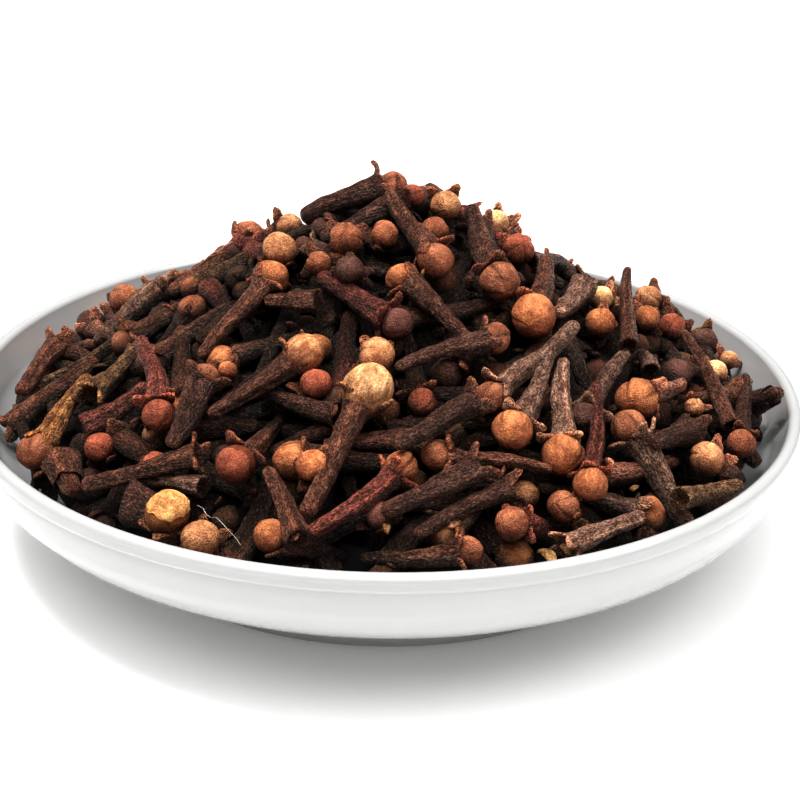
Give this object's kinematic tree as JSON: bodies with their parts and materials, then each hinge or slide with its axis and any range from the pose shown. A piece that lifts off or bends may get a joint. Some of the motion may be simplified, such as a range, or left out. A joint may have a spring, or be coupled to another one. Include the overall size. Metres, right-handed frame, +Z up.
{
  "type": "dish of whole cloves",
  "caption": "Shallow round white glazed ceramic dish on a foot ring, heaped high with whole dried cloves.",
  "frame": {"origin": "middle of the dish's base, where its foot ring rests", "axes": "+Z up through the dish's centre, +X to the right and +Y away from the viewer of the picture"},
  "size_m": [0.1, 0.1, 0.0427],
  "materials": {
    "glaze": "glossy white glaze",
    "clove": "dry, wrinkled, matt with a faint oily sheen"
  },
  "bodies": {
    "root": {"dish": "glaze", "cloves": "clove"}
  },
  "joints": []
}
